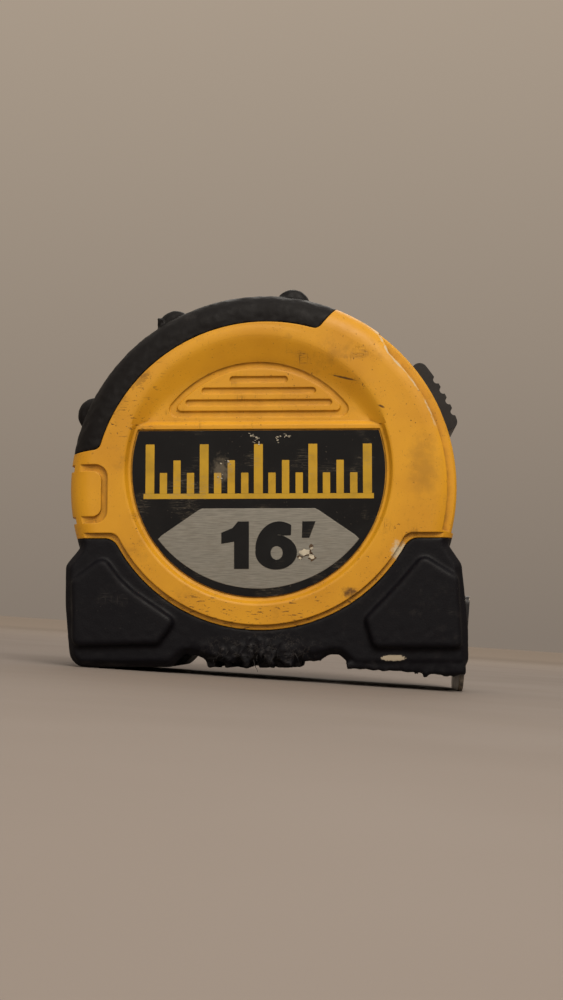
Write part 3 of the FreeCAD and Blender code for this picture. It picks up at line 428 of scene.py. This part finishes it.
def print_film(name, colour, gloss=0.36, wear=0.5):
    """Ink on the label: even, a little glossy, with fine scratches and rubbed spots."""
    p = Paint(name, IOR=1.5, Specular_IOR_Level=0.15)
    dulled = p.mix(p.step(p.noise(0.25, 4.0), 0.4, 0.75), colour, tuple(c * 0.78 + 0.004 for c in colour))
    scores = p.most(p.scratches((0.14, 0.14, 3.2), (0, 40, 0), 0.018, 0.57),
                    p.scratches((0.2, 0.2, 3.6), (0, -38, 0), 0.016, 0.55))
    specks = p.times(p.step(p.noise(2.6, 3.0, 0.6), 0.68, 0.72), p.step(p.noise(0.16, 2.0), 0.48, 0.6))
    rubbed = p.near(on_label([(-7.1, 0)])[0], 0.3, 2.4, (1.0, 0.5, 0.7), 2.2, 1.0)
    mark = p.times(p.most(scores, specks, rubbed), wear)
    tone = p.mix(mark, dulled, (0.26, 0.22, 0.16))
    p.bumps(p.times(mark, -1.0), 0.3, 0.05)
    return p.finish(tone, p.step(p.noise(0.5, 3.0), 0.3, 0.7, gloss - 0.06, gloss + 0.08))


def blade_paint():
    """Yellow lacquer with a scale: black lines every sixteenth of an inch, longer at the larger steps."""
    p = Paint("blade_paint", IOR=1.5)
    along = p.math("SUBTRACT", HOOK_X, p.part("X"))
    across = p.part("Y")
    tone = p.mix(p.step(p.noise(0.15, 3.0), 0.4, 0.7), (0.80, 0.50, 0.035), (0.70, 0.40, 0.022))
    ink = None
    for pitch, reach in ((1.5875, 3.2), (3.175, 4.6), (6.35, 6.2), (12.7, 8.4), (25.4, 12.8)):
        phase = p.math("FRACT", p.math("DIVIDE", along, pitch))
        off = p.math("MULTIPLY", p.math("MINIMUM", phase, p.math("SUBTRACT", 1.0, phase)), pitch)
        inward = p.step(p.math("ABSOLUTE", across), BLADE_HALF - reach - 0.1, BLADE_HALF - reach)
        line = p.times(p.step(off, 0.19, 0.14), inward)
        ink = line if ink is None else p.most(ink, line)
    tone = p.mix(ink, tone, (0.012, 0.012, 0.012))
    p.bumps(p.noise(3.0, 2.0), 0.08, 0.05)
    return p.finish(tone, p.step(p.noise(0.4, 3.0), 0.3, 0.7, 0.28, 0.40))


# ---------------------------------------------------------------- meshes

def new_object(name, mesh, body, material):
    made = bpy.data.objects.new(name, mesh)
    bpy.context.scene.collection.objects.link(made)
    for m in material if isinstance(material, list) else [material]:
        mesh.materials.append(m)
    if body:
        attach(made, body)
    return made


def add_plate(bm, points, y, depth=0.02, index=0):
    """A thin flat plate facing -Y, from its outline's (x, z) points."""
    area = sum(a[0] * b[1] - b[0] * a[1] for a, b in zip(points, points[1:] + points[:1]))
    if area < 0:
        points = points[::-1]
    front = [bm.verts.new((x * MM, y * MM, z * MM)) for x, z in points]
    back = [bm.verts.new((x * MM, (y + depth) * MM, z * MM)) for x, z in points]
    faces = [bm.faces.new(front), bm.faces.new(back[::-1])]
    for i in range(len(points)):
        j = (i + 1) % len(points)
        faces.append(bm.faces.new((front[j], front[i], back[i], back[j])))
    for face in faces:
        face.material_index = index


def add_ring(bm, outer, inner, y, depth=0.02, index=0):
    """A flat plate with a hole, from two outlines with the same number of points, anticlockwise."""
    loops = [[bm.verts.new((x * MM, yy * MM, z * MM)) for x, z in loop]
             for loop in (outer, inner) for yy in (y, y + depth)]
    front_out, back_out, front_in, back_in = loops
    n = len(outer)
    for i in range(n):
        j = (i + 1) % n
        for quad in ((front_out[i], front_out[j], front_in[j], front_in[i]),
                     (back_out[j], back_out[i], back_in[i], back_in[j]),
                     (front_out[j], front_out[i], back_out[i], back_out[j]),
                     (front_in[i], front_in[j], back_in[j], back_in[i])):
            bm.faces.new(quad).material_index = index


def arc(cx, cz, rx, rz, start, end, count):
    """Points on an ellipse, angles in degrees."""
    turn = [math.radians(start + (end - start) * i / (count - 1)) for i in range(count)]
    return [(cx + rx * math.cos(a), cz + rz * math.sin(a)) for a in turn]


def rounded(corners, radius, count=5):
    """A polygon with its corners rounded."""
    made = []
    for i, here in enumerate(corners):
        here = Vector(here)
        before, after = Vector(corners[i - 1]), Vector(corners[(i + 1) % len(corners)])
        a = here + (before - here).normalized() * radius
        b = here + (after - here).normalized() * radius
        for k in range(count):
            t = k / (count - 1)
            made.append(tuple((1 - t) ** 2 * a + 2 * t * (1 - t) * here + t * t * b))
    return made


def mesh_from(bm, name):
    bmesh.ops.recalc_face_normals(bm, faces=bm.faces)
    mesh = bpy.data.meshes.new(name)
    bm.to_mesh(mesh)
    bm.free()
    return mesh


def label_print():
    """The print on the label: a plain ruler's edge, a metal plaque and the length in feet."""
    yellow = print_film("print_yellow", (0.54, 0.32, 0.026), 0.4)
    metal = steel("plaque_foil", (0.30, 0.287, 0.252), 0.5, (0.35, 5.0, 9.0), (0.22, 0.19, 0.155), rust=0.25)
    ink = print_film("print_black", (0.006, 0.006, 0.0065), 0.4, 0.3)
    bm = bmesh.new()
    y = LABEL_FACE_Y - 0.012

    def plate(points, height, index):
        add_plate(bm, on_label(points), y - height, index=index)

    def strip(x0, x1, z0, z1):
        return [(x0, z0), (x1, z0), (x1, z1), (x0, z1)]

    rule_top, rule_half, marks = -4.5, 22.0, 17
    plate(strip(-rule_half, rule_half, rule_top - 1.0, rule_top), 0, 0)
    for i in range(marks):
        x = (rule_half - 1.2) * (2 * i / (marks - 1) - 1)
        high, half = (5.0, 0.85) if i % 4 == 0 else (1.9, 0.7) if i % 2 == 0 else (-0.5, 0.7)
        plate(rounded(strip(x - half, x + half, rule_top + 0.02, high), 0.12), 0, 0)

    centre, tip = 1.56, -13.2
    side = math.degrees(math.asin((centre - tip) / LABEL_R))
    bottom = arc(0, centre, LABEL_R, LABEL_R, -side, -180 + side, 60)
    top = [(-18.5, -12.5), (-11.5, -7.7), (-10.8, -7.35), (10.8, -7.35), (11.5, -7.7), (18.5, -12.5)]
    plate(bottom + top, 0.01, 1)

    plate([(-4.6, -18.9), (-1.8, -18.9), (-1.8, -9.85), (-3.9, -9.85), (-4.9, -11.1), (-7.05, -12.0),
           (-7.05, -14.1), (-4.6, -13.7)], 0.04, 2)
    bowl_out = arc(3.4, -15.75, 3.95, 3.3, 0, 360, 49)[:-1]
    bowl_in = arc(3.5, -15.85, 1.15, 1.3, 0, 360, 49)[:-1]
    add_ring(bm, on_label(bowl_out), on_label(bowl_in), y - 0.04, index=2)
    plate(arc(4.0, -15.2, 4.55, 5.35, 180, 60, 24) + [(6.2, -12.5)]
          + arc(3.9, -15.5, 1.75, 3.1, 70, 180, 16), 0.046, 2)
    plate([(8.4, -9.85), (10.9, -9.85), (9.7, -13.0), (8.3, -13.0)], 0.04, 2)
    new_object("label_print", mesh_from(bm, "label_print"), "case", [yellow, metal, ink])


def label_damage():
    """Chips and nicks where the film is torn."""
    pale = plain_plastic("bared_film", (0.62, 0.56, 0.44), 0.6)
    torn = plain_plastic("torn_film", (0.10, 0.062, 0.035), 0.7)
    rng = random.Random(7)
    bm = bmesh.new()

    def flake(cx, cz, rx, rz, y, count=11, index=0):
        points = []
        for i in range(count):
            a = 2 * math.pi * i / count
            r = rng.uniform(0.55, 1.15)
            points.append((cx + rx * r * math.cos(a), cz + rz * r * math.sin(a)))
        add_plate(bm, on_label(points), y, 0.02, index)

    y = LABEL_FACE_Y - 0.09
    for place in ((9.1, -15.9, 1.7, 0.9), (10.3, -16.8, 0.8, 0.8), (7.9, -16.7, 0.7, 0.45),
                  (10.1, -14.6, 0.5, 0.45)):
        flake(*place, y + 0.012, 13, 1)
    for place in ((8.8, -15.7, 1.15, 0.75), (10.1, -16.6, 0.6, 0.5), (7.9, -16.9, 0.4, 0.35),
                  (10.2, -15.0, 0.35, 0.3)):
        flake(*place, y)
    for cx, cz, spread, count in ((-1.0, 6.4, 0.9, 9), (-0.5, 5.4, 0.7, 6), (4.8, 6.6, 1.2, 9),
                                  (3.5, 5.8, 0.7, 4), (-6.5, 1.4, 0.7, 5), (-7.3, -1.1, 0.5, 3)):
        for _ in range(count):
            flake(cx + rng.gauss(0, spread * 0.6), cz + rng.gauss(0, 0.4),
                  rng.uniform(0.06, 0.3), rng.uniform(0.06, 0.22), y, 7)
    new_object("label_chips", mesh_from(bm, "label_chips"), "case", [pale, torn])


def add_lump(bm, low, high, lumps, seed, amount=0.35):
    """A closed box with a lumpy surface, to be fused into a remeshed piece."""
    box = bmesh.new()
    bmesh.ops.create_cube(box, size=1.0)
    bmesh.ops.subdivide_edges(box, edges=box.edges[:], cuts=4, use_grid_fill=True)
    for v in box.verts:
        p = Vector([l + (c + 0.5) * (h - l) for l, h, c in zip(low, high, v.co)])
        v.co = (p + noise.noise_vector(p * lumps + Vector((seed, seed * 1.7, 0))) * amount) * MM
    mesh = bpy.data.meshes.new("lump")
    box.to_mesh(mesh)
    box.free()
    bm.from_mesh(mesh)
    bpy.data.meshes.remove(mesh)


def fine_copy(node, voxel, smoothing, extras=None):
    """A CAD node's mesh, fused with any extra closed pieces and remeshed finely with softened edges."""
    bm = bmesh.new()
    bm.from_mesh(frame["nodes"][node].data)
    bmesh.ops.remove_doubles(bm, verts=bm.verts, dist=2e-6)
    if extras:
        extras(bm)
    mesh = bpy.data.meshes.new("rough")
    bm.to_mesh(mesh)
    bm.free()
    rough = bpy.data.objects.new("rough", mesh)
    bpy.context.scene.collection.objects.link(rough)
    remesh = rough.modifiers.new("remesh", "REMESH")
    remesh.mode = "VOXEL"
    remesh.voxel_size = voxel * MM
    remesh.use_smooth_shade = True
    smooth = rough.modifiers.new("smooth", "SMOOTH")
    smooth.factor = 0.5
    smooth.iterations = smoothing
    graph = bpy.context.evaluated_depsgraph_get()
    made = bpy.data.meshes.new_from_object(rough.evaluated_get(graph))
    bpy.data.objects.remove(rough)
    made.materials.clear()
    return made


def shift_points(mesh, move):
    """Moves each vertex by move(point in mm), which gives an offset in mm or None."""
    for v in mesh.vertices:
        offset = move(v.co * 1000)
        if offset is not None:
            v.co += offset * MM


def belly_shreds(side):
    """Worn ribs across the belly, torn lumps along its edge, and the strip sagging under the front foot."""
    def extras(bm):
        rng = random.Random(11 if side < 0 else 23)

        def lump(x, half, inner, outer, low, top, grain=1.1, amount=0.5):
            y0, y1 = sorted((side * inner, side * outer))
            add_lump(bm, (x - half, y0, low), (x + half, y1, top), grain, rng.uniform(0, 60), amount)

        for i in range(15):
            x = -9.4 + i * 1.08 + rng.uniform(-0.3, 0.3)
            top = 5.0 - 0.03 * x * x + rng.uniform(-0.9, 0.5)
            low = rng.uniform(0.9, 2.2)
            lump(x, rng.uniform(0.2, 0.42), FLANK - 4.6, FLANK + rng.uniform(0, 0.4), low, top, 1.5, 0.5)
        for x, low in ((-6.6, 0.9), (-3.2, -0.1), (1.7, 0.0), (4.2, 0.5), (5.4, 0.1)):
            lump(x, 0.45, FLANK - 4.6, FLANK + 0.2, low, 2.2, 1.5, 0.6)
        for i in range(4):
            lump(-9.2 + i * 4.6, 0.8, 0.2, FLANK - 5.6, 0.0, 2.2, 0.6, 0.4)
        for i in range(10):
            share = i / 9
            low = -0.15 - 1.15 * share - rng.uniform(0, 0.12)
            lump(BOOT_HIGH.x - 21.5 + 19.4 * share, 1.5, FLANK - 5.0, FLANK - 0.3, low, 1.0, 0.7, 0.25)
        lump(BOOT_HIGH.x - 8.2, 0.35, FLANK - 2.2, FLANK - 0.4, -1.9, -0.4, 1.6, 0.5)
        lump(BOOT_HIGH.x - 3.4, 1.2, FLANK - 4.8, FLANK - 1.0, -1.7, -0.4, 1.2, 0.45)
    return extras


def add_thread(bm, start, heading, length, radius, rng):
    """A thin curling thread that tapers to its end, kept inside the raised pads' width."""
    steps, sides = 8, 5
    place, rings = Vector(start), []
    for i in range(steps):
        across = heading.cross(Vector((0.3, 0.2, 1.0))).normalized()
        other = heading.cross(across)
        size = radius * (1 - 0.75 * i / (steps - 1))
        ring = []
        for k in range(sides):
            turn = 2 * math.pi * k / sides
            out = across * math.cos(turn) + other * math.sin(turn)
            ring.append(bm.verts.new((place + out * size) * MM))
        rings.append(ring)
        place = place + heading * (length / (steps - 1))
        place.y = max(BOOT_LOW.y + 0.2, min(-BOOT_LOW.y - 0.2, place.y))
        bend = Vector((rng.uniform(-1, 1), rng.uniform(-0.5, 0.5), rng.uniform(-1, 0.8))) * 0.45
        heading = (heading + bend).normalized()
    for a, b in zip(rings, rings[1:]):
        for k in range(sides):
            bm.faces.new((a[k], a[(k + 1) % sides], b[(k + 1) % sides], b[k]))
    bm.faces.new(rings[0][::-1])
    bm.faces.new(rings[-1])


def torn_threads(material):
    """Threads of rubber that stand out from the worn belly, on both sides."""
    rng = random.Random(31)
    bm = bmesh.new()
    for side in (-1, 1):
        for _ in range(42):
            x = rng.uniform(-9.5, 6.5)
            start = (x, side * (FLANK - 0.2), rng.uniform(1.2, 5.0 - 0.025 * x * x))
            heading = Vector((rng.uniform(-1, 1), side * rng.uniform(0.2, 0.6), rng.uniform(-1.0, 0.7)))
            add_thread(bm, start, heading.normalized(), rng.uniform(1.0, 3.2), rng.uniform(0.07, 0.15), rng)
    new_object("torn_threads", mesh_from(bm, "torn_threads"), "case", material)


def boot_wear(p):
    """Unevenness that grows towards the belly's edge. The grip ribs nearest the front are worn away."""
    edge = max(0.0, 1.0 - abs(p.z - 1.5) / 4.0) if -14.5 < p.x < 11.5 else 0.0
    offset = noise.noise_vector(p * 0.8) * (0.05 + 0.35 * edge) * (0.35 if p.z > 7 else 1.0)
    if 7.0 < p.x < 12.0 and p.z < 1.3:
        offset.z += 1.3 - p.z
    return offset


def build_boots(material):
    for side, node in ((-1, "boot_right"), (1, "boot_left")):
        mesh = fine_copy(node, 0.34, 2, belly_shreds(side))
        shift_points(mesh, boot_wear)
        piece = new_object(node + "_worn", mesh, "case", material)
        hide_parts(node)


def build_grips(material):
    for side, node in ((-1, "top_grip_right"), (1, "top_grip_left")):
        def extras(bm, side=side):
            rng = random.Random(5 if side < 0 else 9)
            for k in range(5):
                y = side * (15.6 - 2.2 * k + rng.uniform(-0.5, 0.5))
                out, angle = CASE_R + 1.0 - 0.15 * k, 121.4 + rng.uniform(-1.2, 1.2)
                x = out * math.cos(math.radians(angle))
                z = REEL_Z + out * math.sin(math.radians(angle))
                add_lump(bm, (x - 0.45, y - 0.8, z - 1.1), (x + 0.35, y + 0.8, z + 0.7),
                         1.3, rng.uniform(0, 50), 0.5)
        mesh = fine_copy(node, 0.3, 2, extras)
        shift_points(mesh, lambda p: noise.noise_vector(p * 0.9) * 0.08)
        piece = new_object(node + "_worn", mesh, "case", material)
        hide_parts(node)


def blade_strip(material):
    """The blade between coil and tip: flat at the coil and cupped from the mouth on."""
    half, cup = BLADE_HALF, TIP_HIGH.z - TIP_LOW.z - BLADE_T
    mouth_z, flat_z = TIP_LOW.z, COIL_LOW.z - 0.2
    radius = half ** 2 / (2 * cup) + cup / 2
    first, cupped, last = RUN_LOW.x, 15.0, RUN_HIGH.x
    bm = bmesh.new()
    stations = [first + 1.4 * i for i in range(11)] + [cupped + (last - cupped) * i / 60 for i in range(61)]
    across = [half * (i / 8 - 1) for i in range(17)]
    rows = []
    for x in stations:
        share = min(1.0, (x - first) / 14.0)
        share = share * share * (3 - 2 * share)
        low, high = [], []
        for yy in across:
            rise = (radius - math.sqrt(radius ** 2 - yy ** 2)) * share
            z = flat_z + (mouth_z - flat_z) * share + rise
            low.append(bm.verts.new((x * MM, yy * MM, z * MM)))
            high.append(bm.verts.new((x * MM, yy * MM, (z + BLADE_T) * MM)))
        rows.append(low + high[::-1])
    n = len(rows[0])
    for a, b in zip(rows, rows[1:]):
        for i in range(n):
            bm.faces.new((a[i], a[(i + 1) % n], b[(i + 1) % n], b[i]))
    bm.faces.new(rows[0][::-1])
    bm.faces.new(rows[-1])
    mesh = mesh_from(bm, "blade_strip")
    mesh.polygons.foreach_set("use_smooth", [len(p.vertices) == 4 for p in mesh.polygons])
    strip = new_object("blade_strip", mesh, None, material)
    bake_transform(strip)
    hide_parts("blade_run")


def paint_nodes(paints):
    for node, material in paints.items():
        for slot in frame["nodes"][node].material_slots:
            slot.material = material


def build_stage():
    """A pale floor that fades into the room, soft lights, and the camera. The tape rests on its rear foot
    and its hook's tip, so the floor is tilted to touch both."""
    rear = Vector((BOOT_LOW.x + 4.3, 0, BOOT_LOW.z))
    tip = Vector((HOOK_X, 0, HOOK_LOW.z))
    down_hill = (tip - rear).normalized()
    reach = 150000.0
    mesh = bpy.data.meshes.new("floor")
    corners = [rear + down_hill * sx * reach + Vector((0, sy * reach, -0.05))
               for sx, sy in ((-1, -1), (1, -1), (1, 1), (-1, 1))]
    mesh.from_pydata([c * MM for c in corners], [], [(0, 1, 2, 3)])
    floor = bpy.data.objects.new("floor", mesh)
    bpy.context.scene.collection.objects.link(floor)
    p = Paint("floor_paint", Specular_IOR_Level=0.1)
    # Painted shade and light: the floor is coloured darker near the tape, where the lamps light it most, and
    # brighter far off, so the lit floor meets the room's colour at the horizon.
    near = p.mix(p.step(p.noise(0.006, 3.0), 0.35, 0.7), FLOOR_NEAR, tuple(c * 0.94 for c in FLOOR_NEAR))
    tone = p.mix(p.step(p.spread(0, 0), 100, 1500), near, FLOOR_FAR)
    floor.data.materials.append(p.finish(tone, p.step(p.noise(0.02, 2.0), 0.3, 0.7, 0.7, 0.85)))

    def light(name, place, target, size, energy, colour):
        data = bpy.data.lights.new(name, "AREA")
        data.shape = "DISK"
        data.size = size * MM
        data.energy = energy
        data.color = colour
        made = bpy.data.objects.new(name, data)
        bpy.context.scene.collection.objects.link(made)
        made.location = Vector(place) * MM
        made.rotation_euler = (Vector(target) - Vector(place)).to_track_quat("-Z", "Y").to_euler()

    light("key", (190, -450, 540), (0, 0, 35), 440, 3.3, (1.0, 0.93, 0.82))
    light("front", (-150, -900, 430), (0, 0, 30), 700, 1.7, (1.0, 0.94, 0.86))
    light("back", (60, 600, 500), (0, 0, 35), 500, 1.2, (1.0, 0.95, 0.88))

    world = bpy.data.worlds.new("room")
    bpy.context.scene.world = world
    world.use_nodes = True
    tree = world.node_tree
    tree.nodes.clear()
    coords = tree.nodes.new("ShaderNodeTexCoord")
    split = tree.nodes.new("ShaderNodeSeparateXYZ")
    ramp = tree.nodes.new("ShaderNodeValToRGB")
    stops = ramp.color_ramp.elements
    stops[0].position = 0.0
    stops[0].color = (*ROOM_LOW, 1)
    stops[1].position = 1.0
    stops[1].color = (*ROOM_TOP, 1)
    middle = stops.new(0.42)
    middle.color = (*ROOM_MIDDLE, 1)
    back = tree.nodes.new("ShaderNodeBackground")
    output = tree.nodes.new("ShaderNodeOutputWorld")
    tree.links.new(coords.outputs["Generated"], split.inputs[0])
    tree.links.new(split.outputs["Z"], ramp.inputs[0])
    tree.links.new(ramp.outputs[0], back.inputs["Color"])
    tree.links.new(back.outputs[0], output.inputs["Surface"])

    azimuth, elevation, distance = math.radians(2.3), math.radians(-5.0), 300.0
    low, high = (Vector(corner) / MM for corner in CAD_BOUNDS)
    target = Vector(((low.x + high.x) / 2 + 2.7, low.y - 0.1, (low.z + high.z) / 2 - 2.8))
    away = Vector((math.sin(azimuth) * math.cos(elevation), -math.cos(azimuth) * math.cos(elevation),
                   math.sin(elevation)))
    data = bpy.data.cameras.new("camera")
    data.lens = 57.0
    data.clip_start = 0.01
    data.clip_end = 200
    camera = bpy.data.objects.new("camera", data)
    bpy.context.scene.collection.objects.link(camera)
    camera.location = (target + away * distance) * MM
    camera.rotation_euler = (-away).to_track_quat("-Z", "Y").to_euler()
    bpy.context.scene.camera = camera


# ---------------------------------------------------------------- the scene

plastic = yellow_plastic()
rubber = black_rubber("worn_rubber")
build_boots(rubber)
torn_threads(rubber)
build_grips(black_rubber("grip_rubber_worn", (0.0055, 0.0046, 0.0050), 0.6))
label_film = print_film("label_film", (0.0040, 0.0037, 0.0042), 0.42, 0.4)
blade = blade_paint()
paint_nodes({
    "case_shell_right": plastic, "case_shell_left": plastic,
    "label_right": label_film, "label_left": label_film,
    "case_screws": steel("screw_black", (0.10, 0.10, 0.105), 0.4),
    "belt_clip": steel("clip_plate", (0.60, 0.58, 0.54), 0.26, (6.0, 6.0, 0.25), rust=0.2),
    "clip_screw": steel("clip_screw_plate", (0.52, 0.50, 0.47), 0.3),
    "spring_arbor": steel("arbor_steel", (0.45, 0.45, 0.45), 0.4),
    "mainspring": steel("spring_blue", (0.20, 0.22, 0.28), 0.3),
    "drum": plain_plastic("reel_plastic", (0.62, 0.60, 0.54)),
    "drum_cover": plain_plastic("cover_plastic", (0.62, 0.60, 0.54)),
    "blade_coil": blade, "blade_tip": blade,
    "hook_rivets": steel("rivet_steel", (0.62, 0.60, 0.56), 0.3),
    "end_hook": coated_steel("hook_plate"),
    "mouth_cradle": plain_plastic("wear_plastic", (0.03, 0.03, 0.03), 0.45),
    "hook_bumpers": black_rubber("bumper_rubber"),
    "lock_button": plain_plastic("lock_plastic", (0.016, 0.015, 0.015), 0.45),
    "lock_arm": plain_plastic("lock_arm_plastic", (0.02, 0.02, 0.02), 0.5),
    "lock_pad": black_rubber("pad_rubber"),
})
label_print()
label_damage()
blade_strip(blade)
build_stage()

bpy.context.scene.view_settings.view_transform = "Standard"
